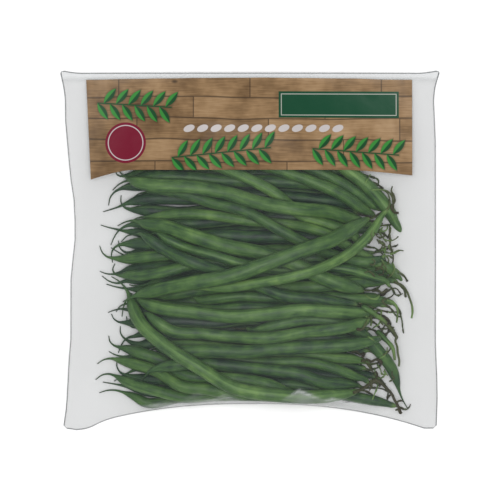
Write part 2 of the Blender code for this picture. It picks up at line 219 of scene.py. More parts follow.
def centreline(node):
    """The middles and radii of the rings of a packed bean, from its tail to its stalk."""
    mesh = bmesh.new()
    mesh.from_mesh(node.data)
    bmesh.ops.remove_doubles(mesh, verts=mesh.verts[:], dist=MERGE_DISTANCE)
    links = {vert: [edge.other_vert(vert) for edge in vert.link_edges] for vert in mesh.verts}
    far = steps_from([next(iter(mesh.verts))], links)
    far = steps_from([max(far, key=far.get)], links)
    cap = [vert for vert in far if far[vert] == max(far.values())]
    far = steps_from(cap, links)
    rings = [[vert.co for vert in far if far[vert] == step] for step in range(max(far.values()) + 1)]
    sizes = {len(ring) for ring in rings}
    assert sizes == {RING_SIDES}, f"{node.name} has rings of {sizes}"
    middles = np.array([np.mean(ring, axis=0) for ring in rings])
    radii = np.array([np.linalg.norm(np.array(ring) - middle, axis=1).mean()
                      for ring, middle in zip(rings, middles)])
    mesh.free()
    return (middles, radii) if radii[0] < radii[-1] else (middles[::-1], radii[::-1])


lines = {name: centreline(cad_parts[name]) for name in bean_names}
longest = max(np.linalg.norm(np.diff(middles, axis=0), axis=1).sum() for middles, _ in lines.values())
print(f"{len(lines)} centrelines, the longest {longest / MM:.0f} mm")

# %% [markdown]
# ## Growing a bean
#
# A pod swells a little over each of its seeds, is not quite round, and
# tapers for a long way into the tail. At its other end a small cap sits where
# the flower was, and the stalk is thin, knobbly and kinked. A flat grid that
# is rolled round the path and joined along its long edge makes all of this
# in one skin, because only its width changes from station to station.

# %% Smooth path through the rings


def smooth_path(middles, count, crowding=0.0):
    """Points on a smooth curve through the middles, how far along each is, and how far along the middles are.

    Crowding adds points near the ends.
    """
    steps = np.linalg.norm(np.diff(middles, axis=0), axis=1)
    knots = np.concatenate([[0], np.cumsum(steps)])
    slopes = np.gradient(middles, knots, axis=0)
    spread = np.linspace(0, 1, count)
    at = knots[-1] * (spread - crowding * np.sin(2 * math.pi * spread))
    span = np.clip(np.searchsorted(knots, at, side="right") - 1, 0, len(knots) - 2)
    width = (knots[span + 1] - knots[span])[:, None]
    t = (at - knots[span])[:, None] / width
    before = (2 * t ** 3 - 3 * t ** 2 + 1) * middles[span] + (t ** 3 - 2 * t ** 2 + t) * width * slopes[span]
    after = (3 * t ** 2 - 2 * t ** 3) * middles[span + 1] + (t ** 3 - t ** 2) * width * slopes[span + 1]
    return before + after, at, knots


print(len(lines[bean_names[0]][0]), "rings guide each path")

# %% How thick a bean is
TAIL_KNOT, STALK_KNOT = 3, 12
SEED_SPACING, SEED_SWELL = 9.5 * MM, 0.03
TAIL_TAPER, CAP_TAPER, BLUNT_TAPER = 15.0 * MM, 16.0 * MM, 22.0 * MM
# A pod's width at its two ends, as a share of its widest
TAIL_WIDTH, CAP_WIDTH, BLUNT_WIDTH = 0.16, 0.42, 0.3
# How much thinner the tail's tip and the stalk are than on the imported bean
TIP_THINNING, STALK_THINNING = 0.5, 0.4
COLLAR_HEIGHT, COLLAR_REACH, COLLAR_PLACE = 0.25 * MM, 0.9 * MM, 0.6 * MM
KNOB_HEIGHT, KNOB_SPACING = 0.13 * MM, 0.8 * MM
# How far past the cap the stalk is as thin as it gets, and its knobs as high
NECK, KNOB_GROWTH = 2.5 * MM, 3.0 * MM


def rounded(distance, length):
    """Rises from 0 to 1 over this length, steeply at first, as the end of a pod does."""
    return np.sin(np.clip(distance / length, 0, 1) * math.pi / 2) ** 0.8


def pod_side(distance, length, least):
    """The share of the full width at this distance from one end of a pod."""
    return least + (1 - least) * rounded(distance, length)


def bean_girth(at, knots, radii, swell, blunt, draw):
    """The radius along the path, with seeds, a cap and a knobbly stalk, which a blunt pod has lost."""
    tail_end, cap = knots[TAIL_KNOT], knots[STALK_KNOT]
    widest = radii.max() * swell
    thin = np.interp(at, knots, radii)
    thin *= 1 - TIP_THINNING * np.clip(1 - at / tail_end, 0, 1)
    thin *= 1 - STALK_THINNING * np.clip((at - cap) / NECK, 0, 1)
    pod_end = knots[-1] if blunt else cap
    tail_side = pod_side(at - tail_end, TAIL_TAPER, TAIL_WIDTH)
    taper, width = (BLUNT_TAPER, BLUNT_WIDTH) if blunt else (CAP_TAPER, CAP_WIDTH)
    stalk_side = pod_side(pod_end - at, taper, width)
    pod = widest * np.minimum(tail_side, stalk_side)
    pod *= 1 + SEED_SWELL * np.cos(2 * math.pi * at / SEED_SPACING + draw.uniform(0, 6))
    girth = np.where((at > tail_end) & (at < pod_end), pod, thin)
    for _ in range(2):
        girth[1:-1] = (girth[:-2] + 2 * girth[1:-1] + girth[2:]) / 4
    if blunt:
        return girth
    collar = np.exp(-((at - cap - COLLAR_PLACE) / COLLAR_REACH) ** 2)
    knobs = np.clip((at - cap) / KNOB_GROWTH, 0, 1) * np.sin(at / KNOB_SPACING + draw.uniform(0, 6))
    return girth + COLLAR_HEIGHT * collar + KNOB_HEIGHT * knobs


print("a pod swells over a seed every", round(SEED_SPACING / MM, 1), "mm")

# %% Roll a grid into a tube along a path
POD_SIDES = 14
LOWEST_SKIN = 0.35 * MM
JOIN_DISTANCE = 0.001 * MM


def ring_frames(points):
    """Two directions across the path at every station, which don't twist round it."""
    ahead = np.gradient(points, axis=0)
    ahead /= np.linalg.norm(ahead, axis=1)[:, None]
    side = np.array([0.0, 0.0, 1.0])
    frames = []
    for way in ahead:
        side = side - way * side.dot(way)
        side /= np.linalg.norm(side)
        frames.append((Vector(side), Vector(np.cross(way, side))))
    return frames


def roll_tube(mesh, points, girth, sides, shares, bean_tone, flatness=1.0, roll=0.0):
    """Adds a closed tube to the mesh. Bean_tone is the shade and the dryness that all of it has."""
    layers = mesh.verts.layers.float_vector
    place = layers.get("pod_place") or layers.new("pod_place")
    kind = layers.get("pod_kind") or layers.new("pod_kind")
    frames = ring_frames(points)
    along = np.concatenate([[0], np.cumsum(np.linalg.norm(np.diff(points, axis=0), axis=1))])
    made = bmesh.ops.create_grid(mesh, x_segments=sides, y_segments=len(points) - 1, size=1.0)["verts"]
    for vert in made:
        turn = (vert.co.x + 1) * math.pi
        station = round((vert.co.y + 1) / 2 * (len(points) - 1))
        up, across = frames[station]
        reach = up * math.cos(turn) * flatness + across * math.sin(turn)
        vert.co = Vector(points[station]) + reach * float(girth[station])
        vert.co.z = max(vert.co.z, LOWEST_SKIN)
        vert[place] = (math.cos(turn - roll), math.sin(turn - roll), along[station])
        vert[kind] = (bean_tone[0], shares[station], bean_tone[1])
    bmesh.ops.remove_doubles(mesh, verts=made, dist=JOIN_DISTANCE)
    bmesh.ops.holes_fill(mesh, edges=[edge for edge in mesh.edges if edge.is_boundary], sides=sides)


def add_piece(mesh, name, node, slot, *materials):
    """Makes a finished piece of the mesh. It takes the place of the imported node, if one is named."""
    bmesh.ops.recalc_face_normals(mesh, faces=mesh.faces[:])
    data = bpy.data.meshes.new(name)
    mesh.to_mesh(data)
    mesh.free()
    data.polygons.foreach_set("use_smooth", [True] * len(data.polygons))
    for material in materials:
        data.materials.append(material)
    piece = bpy.data.objects.new(name, data)
    bpy.context.scene.collection.objects.link(piece)
    if node:
        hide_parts(node)
    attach(piece, "root")
    return piece


print("a pod has", POD_SIDES, "sides")

# %% [markdown]
# ## All the beans
#
# Every bean is a little darker or lighter than the next and dries in its own
# way, so each draws its shade, dryness and flatness from one seeded source.
# A thin, curled thread is left at most stalks. It is the dry remains of the
# flower stem, and wanders a little at every step, as a dry stem does.

# %% A curled, withered thread at the stalk
THREAD_STEP, THREAD_LENGTHS, THREAD_SHARE = 0.9 * MM, (4, 12), 0.75
THREAD_BEND, BEND_KEPT, BEND_CHANGE = 0.25, 0.85, 0.22
RIGHT_LIMIT, LOWEST_THREAD = 92.0 * MM, 0.9 * MM


def curled_thread(end, way, length, draw):
    """Points that wander on from the end of a stalk, and stay inside the bag."""
    heading = math.atan2(way[1], way[0])
    bend = draw.uniform(-THREAD_BEND, THREAD_BEND)
    points = [np.array(end)]
    for _ in range(int(length / THREAD_STEP)):
        bend = BEND_KEPT * bend + draw.uniform(-BEND_CHANGE, BEND_CHANGE)
        heading += bend
        step = np.array([math.cos(heading), math.sin(heading), draw.uniform(-0.35, 0.3)]) * THREAD_STEP
        points.append(points[-1] + step)
    points = np.array(points)
    points[:, 0] = np.minimum(points[:, 0], RIGHT_LIMIT)
    points[:, 2] = np.maximum(points[:, 2], LOWEST_THREAD)
    return points


def knobbly(count, start, end, draw):
    """A thin radius at this many points, which swells at two knots."""
    share = np.linspace(0, 1, count)
    girth = start + (end - start) * share
    for _ in range(2):
        height = draw.uniform(0.1, 0.35) * MM
        girth = girth + height * np.exp(-((share - draw.uniform(0.1, 1.0)) / 0.07) ** 2)
    return girth


print("threads stay left of", round(RIGHT_LIMIT / MM), "mm")

# %% Grow every bean where it lies
STATIONS = 80
HIDDEN_BEANS = 26
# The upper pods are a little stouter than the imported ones, which need clear gaps between them
FRONT_SWELL = 1.1
SLOT_SHADE = {"pod_mid_green": 0.0, "pod_dark_green": -0.1, "pod_light_green": 0.06}
# Hidden beans are painted darker, a painted shade from the pods above them; two pods on the front have lost
# their stalks, and some differ in shade
HIDDEN_PAINTED_SHADE, OVERALL_SHADE = -0.2, -0.03
BLUNT = ("bean_42", "bean_48")
FRONT_SHADE = {
    "bean_30": 0.14, "bean_35": -0.02, "bean_48": 0.1, "bean_50": 0.1, "bean_52": 0.08,
    "bean_54": 0.1, "bean_55": 0.13, "bean_56": 0.18, "bean_57": 0.06,
}
draw = random.Random(3)
beans = []
for number, name in enumerate(bean_names):
    middles, radii = lines[name]
    slot = list(SLOT_SHADE)[number % len(SLOT_SHADE)]
    points, at, knots = smooth_path(middles, STATIONS, crowding=0.055)
    blunt = name in BLUNT
    stops = [0, knots[TAIL_KNOT], knots[STALK_KNOT], knots[-1]]
    shares = np.interp(at, stops, [0.0, 0.12, 0.88, 0.88 if blunt else 1.0])
    shade = FRONT_SHADE.get(name, SLOT_SHADE[slot] + draw.uniform(-0.04, 0.1))
    # Painted shade: the beans under the upper layers are made darker
    if number < HIDDEN_BEANS:
        shade += HIDDEN_PAINTED_SHADE
    tone = (shade + OVERALL_SHADE, draw.uniform(0.75, 1.0))
    mesh = bmesh.new()
    swell = 1.0 if number < HIDDEN_BEANS else FRONT_SWELL
    roll_tube(mesh, points, bean_girth(at, knots, radii, swell, blunt, draw), POD_SIDES, shares, tone,
              flatness=draw.uniform(0.9, 0.98), roll=draw.uniform(0, 2 * math.pi))
    if draw.random() < THREAD_SHARE and not blunt:
        thread = curled_thread(points[-1], points[-1] - points[-3], draw.uniform(*THREAD_LENGTHS) * MM, draw)
        girth = knobbly(len(thread), 0.5 * MM, 0.32 * MM, draw)
        roll_tube(mesh, thread, girth, 6, np.linspace(draw.uniform(0.9, 0.97), 1.0, len(thread)), tone)
    beans.append(add_piece(mesh, name.replace("bean", "pod"), name, slot, pod_skin))
print(len(beans), "beans of about", len(beans[0].data.vertices), "points each")

# %% How high the beans reach
RAY_START = 100.0 * MM


def tree_of(pieces):
    """One tree of all the faces of these pieces, to cast rays at."""
    joined = bmesh.new()
    for piece in pieces:
        joined.from_mesh(piece.data)
    tree = BVHTree.FromBMesh(joined)
    joined.free()
    return tree


def reach(tree, x, y, side, width=0.8 * MM):
    """The top (side 1) or the underside (side -1) of what lies near this spot, or None."""
    best = None
    for dx, dy in ((0, 0), (width, 0), (-width, 0), (0, width), (0, -width)):
        hit = tree.ray_cast(Vector((x + dx, y + dy, RAY_START * side)), Vector((0, 0, -side)))[0]
        if hit is not None and (best is None or side * (hit.z - best) > 0):
            best = hit.z
    return best


bean_tree = tree_of(beans)
print(f"beans reach {reach(bean_tree, 0, 0, 1) / MM:.1f} mm at the middle")

# %% [markdown]
# ## The withered stems
#
# Among the stalks lie the remains of the stems that the pods hung from. They
# have dried to thin, crooked threads, some still pale green and some brown,
# with a dark knot wherever a flower sat. Each one here is a short row
# of places on the plan, and rays cast down on the beans say how high it lies.

# %% Places of the withered stems
# First and last radius in mm, first and last place in the skin's colours from green (0.9) to brown (1.0),
# and then the places it passes, in mm
WITHERED = [
    (0.45, 0.3, 0.9, 0.97, [(68.3, 34.2), (72.2, 34.5), (75.0, 34.3), (77.8, 33.4), (79.9, 30.8),
     (80.6, 26.9), (81.0, 22.6)]),
    (0.3, 0.6, 0.96, 1.0, [(80.1, 36.4), (79.5, 33.8), (80.8, 31.4), (81.5, 28.0), (79.5, 24.6),
     (81.2, 21.8), (83.7, 21.3)]),
    (0.25, 0.25, 0.9, 0.9, [(67.8, 43.1), (66.1, 40.3), (64.4, 37.9)]),
    (0.3, 0.3, 0.91, 0.95, [(68.9, 11.8), (68.1, 9.5), (68.7, 7.3), (66.9, 4.3)]),
    (0.35, 0.4, 0.92, 0.97, [(78.4, 14.8), (79.0, 11.2), (77.6, 7.8)]),
    (0.35, 0.3, 0.9, 0.95, [(74.5, 13.2), (73.1, 10.6), (74.5, 7.8), (76.9, 5.0)]),
    (0.3, 0.3, 0.91, 0.96, [(72.8, 6.2), (74.5, 3.9), (73.1, 0.6), (70.6, 0.0)]),
    (0.3, 0.4, 0.92, 0.99, [(79.5, 6.9), (78.7, 3.4), (80.1, 0.0), (80.4, -2.8)]),
    (0.3, 0.3, 0.93, 0.97, [(68.3, -4.5), (70.0, -5.6), (69.1, -7.8), (67.2, -7.3)]),
    (0.35, 0.3, 0.94, 0.99, [(70.6, -9.5), (72.8, -9.2), (75.0, -10.6), (74.5, -13.2), (72.2, -13.4)]),
    (0.45, 0.35, 0.9, 0.94, [(80.1, -6.7), (81.2, -10.1), (79.5, -13.4), (76.9, -15.1)]),
    (0.3, 0.35, 0.93, 0.98, [(64.4, -12.3), (66.1, -11.4), (68.3, -12.3), (70.0, -14.6)]),
    (0.6, 0.45, 0.97, 0.9, [(81.2, -17.4), (83.4, -18.4), (86.0, -19.9), (88.1, -22.6), (89.8, -26.7),
     (91.1, -30.8), (91.4, -34.2), (90.9, -37.9)]),
    (0.5, 0.65, 0.97, 1.0, [(68.9, -22.6), (71.7, -22.2), (74.3, -23.5), (76.9, -21.8), (75.6, -24.4),
     (73.1, -24.6)]),
    (0.65, 0.4, 0.89, 0.92, [(76.9, -27.6), (80.3, -28.9), (82.3, -30.9), (83.2, -33.8), (83.0, -37.0),
     (82.5, -40.1)]),
    (0.35, 0.4, 0.95, 0.99, [(61.0, -29.1), (63.3, -30.2), (64.0, -32.5), (66.6, -34.2), (69.1, -35.3),
     (70.3, -37.9)]),
    (0.4, 0.6, 0.9, 1.0, [(66.6, -38.1), (64.4, -41.4), (62.7, -43.9), (59.9, -43.7)]),
    (0.55, 0.45, 0.98, 1.0, [(73.6, -37.5), (75.0, -38.3), (76.9, -37.9), (78.4, -39.8), (77.6, -41.1)]),
    (0.5, 0.5, 0.97, 0.93, [(79.5, -44.8), (81.0, -47.0), (82.5, -48.4), (81.8, -50.4), (82.8, -53.8),
     (83.2, -57.7), (84.0, -62.2), (83.7, -65.0)]),
    (0.5, 0.6, 0.98, 1.0, [(57.1, -57.1), (59.9, -56.6), (61.9, -58.2), (64.4, -57.7), (63.3, -59.9)]),
    (0.6, 0.5, 0.98, 1.0, [(62.7, -62.2), (65.5, -61.0), (68.3, -62.2), (71.1, -61.0), (73.9, -62.7),
     (73.1, -65.0)]),
    (0.3, 0.28, 0.91, 0.93, [(71.7, -63.8), (73.4, -66.6), (74.5, -69.4), (76.3, -68.9), (75.6, -66.6)]),
    (0.28, 0.28, 0.9, 0.92, [(70.0, -66.1), (70.9, -69.4), (72.8, -71.7), (75.0, -70.8), (76.5, -68.3)]),
    (0.3, 0.3, 0.94, 0.98, [(78.4, -73.4), (80.1, -72.6), (81.2, -71.7), (79.9, -70.0), (80.1, -67.8)]),
    (0.8, 0.6, 0.97, 1.0, [(58.2, -79.5), (60.8, -78.6), (64.4, -77.1), (67.5, -74.8), (70.6, -72.8),
     (73.9, -74.5), (76.9, -77.3), (79.9, -80.6), (81.5, -84.0), (83.2, -86.8), (84.8, -90.7)]),
    (0.45, 0.35, 0.98, 1.0, [(79.9, -80.6), (78.1, -81.8), (77.4, -83.1)]),
    (0.45, 0.35, 0.98, 1.0, [(82.5, -85.1), (84.6, -84.2), (86.2, -84.7)]),
    (0.4, 0.4, 0.98, 1.0, [(81.8, -89.6), (83.2, -89.2), (84.6, -91.4), (85.5, -90.7)]),
    (0.3, 0.28, 0.9, 0.91, [(72.2, -75.0), (71.3, -77.8), (70.0, -80.6), (68.9, -83.8)]),
    (0.5, 0.4, 0.97, 1.0, [(70.6, -72.8), (71.7, -69.4), (70.9, -67.8)]),
    (0.4, 0.35, 0.97, 0.99, [(78.4, 12.3), (78.7, 7.8), (79.0, 2.8), (80.6, -4.5), (80.1, -7.3)]),
    (1.4, 0.6, 0.86, 0.96, [(63.3, -31.4), (67.2, -33.6), (71.1, -36.4), (74.5, -38.6), (77.3, -41.4),
     (81.5, -46.5), (82.9, -48.7)]),
    (1.3, 0.6, 0.86, 0.92, [(71.7, -45.4), (76.2, -49.8), (80.1, -54.3), (81.5, -61.3)]),
]
# Where short bits of stem lie thickest: from and to in mm across and up the bag, and how many
THICKETS = [((69, 79), (-9, 13), 15), ((64, 76), (-48, -24), 9), ((63, 77), (-76, -58), 8)]
print(len(WITHERED), "stems and", sum(count for _, _, count in THICKETS), "short bits")

# %% Lay the stems on the beans
STEM_LEVEL = 8.0 * MM
STOUTER = 1.25
STEM_TONES = (0.0, 0.1)


def laid_on_beans(plan, radius):
    """Gives the points of a stem the height of the beans under them, or a lower level beside the pile."""
    rests = []
    for x, y in plan:
        top = reach(bean_tree, x, y, 1, width=0.3 * MM)
        rests.append(STEM_LEVEL if top is None else top + radius)
    rests = np.array(rests)
    heights = rests.copy()
    for _ in range(12):
        heights[1:-1] = (heights[:-2] + 2 * heights[1:-1] + heights[2:]) / 4
        heights = np.maximum(heights, np.where(rests > STEM_LEVEL, rests, 0))
    return np.column_stack([plan, heights])


stems = []
for number, (first, last, green, brown, places) in enumerate(WITHERED, start=1):
    plan, _, _ = smooth_path(np.array(places) * MM, max(8, 4 * len(places)))
    points = laid_on_beans(plan, first * MM)
    mesh = bmesh.new()
    girth = knobbly(len(points), first * STOUTER * MM, last * STOUTER * MM, draw)
    shares = np.linspace(green, brown, len(points))
    roll_tube(mesh, points, girth, 7, shares, (draw.uniform(*STEM_TONES), 1.0))
    stems.append(add_piece(mesh, f"withered_stem_{number:02d}", None, "pod_dark_green", pod_skin))

for thicket, (across, up, count) in enumerate(THICKETS, start=1):
    mesh = bmesh.new()
    for _ in range(count):
        start = np.array([draw.uniform(*across), draw.uniform(*up), 0.0]) * MM
        way = np.array([draw.uniform(-0.2, 1.0), draw.uniform(-1.0, 0.5)])
        plan = curled_thread(start, way, draw.uniform(4, 10) * MM, draw)[:, :2]
        points = laid_on_beans(plan, 0.4 * MM)
        girth = knobbly(len(points), draw.uniform(0.4, 0.7) * MM, 0.35 * MM, draw)
        brown = draw.choice((0.92, 0.94, 0.98))
        shares = np.linspace(brown - 0.03, brown, len(points))
        roll_tube(mesh, points, girth, 6, shares, (draw.uniform(*STEM_TONES), 1.0))
    stems.append(add_piece(mesh, f"stem_bits_{thicket}", None, "pod_dark_green", pod_skin))
print(len(stems), "pieces of withered stem")

# %% [markdown]
# ## The film of the bag
#
# The bag is thin polypropylene film, clear with a faint milky haze, and welded
# along its edges. It is limp, so it lies on the tops of the beans and spans
# the hollows between them. Each panel starts as a flat grid with the
# bag's outline. Its height then relaxes: every point moves to the mean of its
# neighbours, which pulls the film taut, and is pushed out again wherever
# a bean is in the way. Rays cast down onto the beans say how high that is.

# %% The outline of the bag
BAG_HALF_WIDTH, BAG_TOP, BAG_BOTTOM = 105.1 * MM, 100.5 * MM, -86.2 * MM
# The left and the right edge: places up the bag, and where the edge is there, in mm
LEFT_LEVELS = (-98, -90, -83, -61, -50, -16, -5, 6, 17, 29, 40, 51, 73, 85, 96)
LEFT_PLACES = (
    -105.2, -104.0, -103.4, -102.2, -101.2, -101.1, -100.0, -98.8, -98.8, -99.4, -101.1, -102.2, -104.2,
    -104.4, -105.0,
)
RIGHT_LEVELS = (-100, -83, -72, -61, -50, 62, 75, 84, 92, 100)
RIGHT_PLACES = (105.3, 105.8, 105.6, 105.1, 104.7, 104.7, 104.2, 103.8, 104.1, 105.0)
# The lower corners hang this far below the middle. Beside the left one the edge sags a little more.
CORNER_DROP, CORNER_REACH, CORNER_CURVE = 14.0 * MM, 98.0 * MM, 2.4
SAG, SAG_PLACE, SAG_WIDTH = 2.0 * MM, -0.87, 0.07
SEAM_LINE = 0.6 * MM
# The upper corners stick out as small ears, and all four are rounded
EAR_REACH, EAR_WIDTH, EAR_HEIGHT = 2.6 * MM, 0.1, 0.16
CORNER_CUT, CORNER_START = 70.0 * MM, 1.985
SEAM_RISE, TOP_SEAM_RISE = 4.6 * MM, 2.6 * MM
SEAM_BASE, HALF_GAP = 0.75 * MM, 0.1 * MM


def bag_place(u, v):
    """The place on the bag of a point of a square from -1 to 1."""
    bottom = BAG_BOTTOM - CORNER_DROP * min(abs(u) * BAG_HALF_WIDTH / CORNER_REACH, 1) ** CORNER_CURVE
    bottom -= SAG * math.exp(-((u - SAG_PLACE) / SAG_WIDTH) ** 2)
    y = bottom + (BAG_TOP - bottom) * (v + 1) / 2
    left = np.interp(y / MM, LEFT_LEVELS, LEFT_PLACES) * MM
    right = np.interp(y / MM, RIGHT_LEVELS, RIGHT_PLACES) * MM
    x = left + (right - left) * (u + 1) / 2
    corner = max(abs(u) + abs(v) - CORNER_START, 0) * CORNER_CUT
    ear = EAR_REACH * (max(1 - (1 - v) / EAR_HEIGHT, 0) * max(1 - (1 - abs(u)) / EAR_WIDTH, 0)) ** 2
    return x - math.copysign(1, u) * (corner - ear), y - math.copysign(corner, v) + 0.7 * ear


def seam_height(u, v):
    """How high the welded edge lies. It is lowest at the corners, and lies lower along the top."""
    rise = SEAM_RISE + (TOP_SEAM_RISE - SEAM_RISE) * max(v, 0) ** 4
    return SEAM_BASE + rise * (1 - min(abs(u), abs(v)) ** 2)


print("bottom right corner at", [round(c / MM, 1) for c in bag_place(1, -1)], "mm")

# %% Lay the film
FILM_COLUMNS, FILM_ROWS = 160, 150
FILM_GAP, FILM_PLAY, CALM_CELLS = 0.25 * MM, 1.5 * MM, 5
pile_tree = tree_of(beans + stems)


def grid_share(step, steps):
    """A place from -1 to 1 whose first and last steps are as narrow as the welded seam."""
    narrow = 2 * SEAM_LINE / (2 * BAG_HALF_WIDTH)
    if step in (0, steps):
        return -1.0 if step == 0 else 1.0
    return -1 + narrow + (2 - 2 * narrow) * (step - 1) / (steps - 2)


def taut(heights, limits, side, passes, sink, lowest):
    """Moves every point to the mean of its neighbours, and never into a bean."""
    for _ in range(passes):
        mean = (heights[:-2, 1:-1] + heights[2:, 1:-1] + heights[1:-1, :-2] + heights[1:-1, 2:]) / 4
        heights[1:-1, 1:-1] = mean - sink
        heights = np.maximum(heights, limits) if side > 0 else np.minimum(heights, limits)
        heights = np.maximum(heights, lowest)
    return heights


def lay_film(side, passes, sink, lowest):
    """A panel of the bag, laid on the beans (side 1) or under them (side -1)."""
    mesh = bmesh.new()
    crease_glint = mesh.verts.layers.float.new("crease_haze")
    bmesh.ops.create_grid(mesh, x_segments=FILM_COLUMNS, y_segments=FILM_ROWS, size=1.0)
    heights = np.zeros((FILM_ROWS + 1, FILM_COLUMNS + 1))
    limits = np.full_like(heights, -side)
    grid = {}
    for vert in mesh.verts:
        column, row = round((vert.co.x + 1) / 2 * FILM_COLUMNS), round((vert.co.y + 1) / 2 * FILM_ROWS)
        u, v = grid_share(column, FILM_COLUMNS), grid_share(row, FILM_ROWS)
        x, y = bag_place(u, v)
        vert.co = (x, y, 0)
        grid[row, column] = vert
        heights[row, column] = seam_height(u, v) + side * HALF_GAP
        inside = 0 < row < FILM_ROWS and 0 < column < FILM_COLUMNS
        top = reach(pile_tree, x, y, side) if inside else None
        if top is not None:
            heights[row, column] = limits[row, column] = top + side * FILM_GAP
    heights = taut(heights, limits, side, passes, sink, lowest)
    for (row, column), vert in grid.items():
        loose = min(abs(heights[row, column] - limits[row, column]) / FILM_PLAY, 1.0)
        inward = min(row, FILM_ROWS - row, column, FILM_COLUMNS - column) / CALM_CELLS
        # The crease strength also sets how much painted glint the material shows
        vert[crease_glint] = crease_glint_at(vert.co.x, vert.co.y) if side > 0 else 0.0
        lift = loose * min(inward, 1.0) * crinkle(vert.co.x, vert.co.y, side)
        lift += side * vert[crease_glint] * CREASE_HEIGHT
        vert.co.z = max(heights[row, column] + lift, lowest)
    return mesh


print("film grid of", FILM_COLUMNS, "by", FILM_ROWS)

# %% [markdown]
# ## Crinkles and creases
#
# Where the film hangs free it has long soft waves. Along the bottom it has been
# pulled round the lowest beans, and there it is creased. Creased film is painted
# whiter, as a painted glint of the folds that also lifts the shade of the pile
# along the bottom, so each crease both lifts the film and marks it in an
# attribute that its material reads.

# %% Crinkles and creases
CRINKLE_HEIGHT, CREASE_HEIGHT = 0.9 * MM, 0.5 * MM
# Waves and ridges in a metre, across and up the bag
WAVES, RIDGES = (55, 40), (80, 45)
# The feet and the peak of each wedge in mm, and how white its painted glint is
CREASES = [
    ((-40.0, -84.0), (-28.5, -79.0), (-22.0, -84.0), 0.5),
    ((-25.0, -84.5), (-15.0, -80.5), (0.0, -84.6), 0.75),
    ((15.0, -84.6), (27.2, -77.4), (46.0, -85.0), 0.95),
    ((32.0, -84.8), (46.0, -82.5), (74.0, -88.0), 0.85),
    ((-66.0, -87.5), (-20.0, -83.2), (56.0, -87.0), 0.85),
]
CREASE_SOFTNESS, CREASE_FADE = 1.3, 13.0
# Above the print, where the two panels are pressed together, the film is painted whiter to lift the shade
# that the band throws there
HEADER_LEVEL, HEADER_FADE, HEADER_PAINTED_LIGHT = 94.0 * MM, 4.0 * MM, 0.8


def crease_glint_at(x, y):
    """How strongly a spot of the film is creased, from 0 to 1: whitest near a wedge's upper edges. The same
    amount is the painted glint, and the painted light above the print.
    """
    spot = Vector((x / MM, y / MM))
    total = HEADER_PAINTED_LIGHT * min(max((y - HEADER_LEVEL) / HEADER_FADE, 0), 1) ** 2
    for left, peak, right, strength in CREASES:
        depths = []
        for start, end in ((left, peak), (peak, right)):
            run = Vector(end) - Vector(start)
            depths.append((spot - Vector(start)).cross(run) / run.length)
        depth = min(depths)
        inside = 1 / (1 + math.exp(-min(max(depth / CREASE_SOFTNESS * 4, -30), 30)))
        edge = math.exp(-(depth / CREASE_SOFTNESS) ** 2)
        fade = min(max(min(spot.x - left[0], right[0] - spot.x) / CREASE_FADE, 0), 1)
        total = max(total, strength * inside * fade * (0.4 + 0.6 * edge))
    return total


def crinkle(x, y, side):
    """Soft waves about 20 mm long with a few sharper ridges."""
    wave = noise.noise(Vector((x * WAVES[0], y * WAVES[1], side * 0.3)))
    ridge = 0.5 - abs(noise.noise(Vector((x * RIDGES[0], y * RIDGES[1], side)))) * 1.6
    return side * (wave * 0.5 + ridge * 0.4) * CRINKLE_HEIGHT


front_mesh = lay_film(1, passes=700, sink=0.0, lowest=0.0)
back_mesh = lay_film(-1, passes=400, sink=0.02 * MM, lowest=0.05 * MM)

# %% [markdown]
# ## What the film is like
#
# The film is nearly clear, so most light goes straight through it and only its
# faint grey haze veils the beans. It is hazier where it turns away from the eye,
# because the light has more of it to cross, and painted whiter along creases as a
# glint. The welded edge has been melted and is twice as thick, so it shows as a grey line.

# %% Film materials
FILM_ALPHA, EDGE_ON_ALPHA, CREASE_GLINT_ALPHA = 0.13, 0.03, 0.5
RIPPLE_SIZE, WELD_SIZE, CLOUD_SIZE = 3.846 * MM, 1.4286 * MM, 33.33 * MM


def rippled(material, shader, size, detail, strength, depth):
    """Gives a film small ripples, and returns the place on it and their noise."""
    spot = add_node(material, "TexCoord").outputs["Object"]
    ripple = add_node(material, "TexNoise", {"Scale": 1 / size, "Detail": detail}, Vector=spot)
    bump = add_node(material, "Bump", {"Strength": strength, "Distance": depth}, Height=ripple)
    join_to(material, bump, shader, "Normal")
    return spot, ripple


clear_film, shader = new_material("clear_polypropylene_film", {
    "Roughness": 0.42,
    "IOR": 1.49,
    "Specular IOR Level": 0.2,
})
spot, _ = rippled(clear_film, shader, RIPPLE_SIZE, 3.0, 0.25, 0.4 * MM)
# Painted glint: creased film is mixed towards white and made less clear
crease_glint = add_node(clear_film, "Attribute", {"attribute_name": "crease_haze"}).outputs["Fac"]
cloud = add_node(clear_film, "TexNoise", {"Scale": 1 / CLOUD_SIZE, "Detail": 2.0}, Vector=spot)
haze = add_node(clear_film, "ValToRGB", {"stops": [(0.3, "#555a5c"), (0.7, "#6a6f71")]}, Fac=cloud)
painted_glint = add_node(clear_film, "Mix", {"data_type": "RGBA", 7: linear("#f4f6f7")}, in_0=crease_glint, in_6=haze)
join_to(clear_film, painted_glint.outputs[2], shader, "Base Color")
facing = add_node(clear_film, "LayerWeight", {"Blend": 0.3}).outputs["Facing"]
edge_on = add_node(clear_film, "Math", {"operation": "MULTIPLY_ADD", 1: EDGE_ON_ALPHA, 2: FILM_ALPHA},
                   in_0=facing)
veil = add_node(clear_film, "Math", {"operation": "MULTIPLY_ADD", 1: CREASE_GLINT_ALPHA, "use_clamp": True},
                in_0=crease_glint, in_2=edge_on)
join_to(clear_film, veil, shader, "Alpha")

welded_edge, shader = new_material("welded_polypropylene_edge", {
    "Roughness": 0.35,
    "IOR": 1.49,
    "Alpha": 0.52,
})
_, ripple = rippled(welded_edge, shader, WELD_SIZE, 2.0, 0.3, 0.3 * MM)
streak = add_node(welded_edge, "ValToRGB", {"stops": [(0.35, "#4e5255"), (0.65, "#6c7073")]}, Fac=ripple)
join_to(welded_edge, streak, shader, "Base Color")
print("film and welded edge made")

# %% Finish the panels


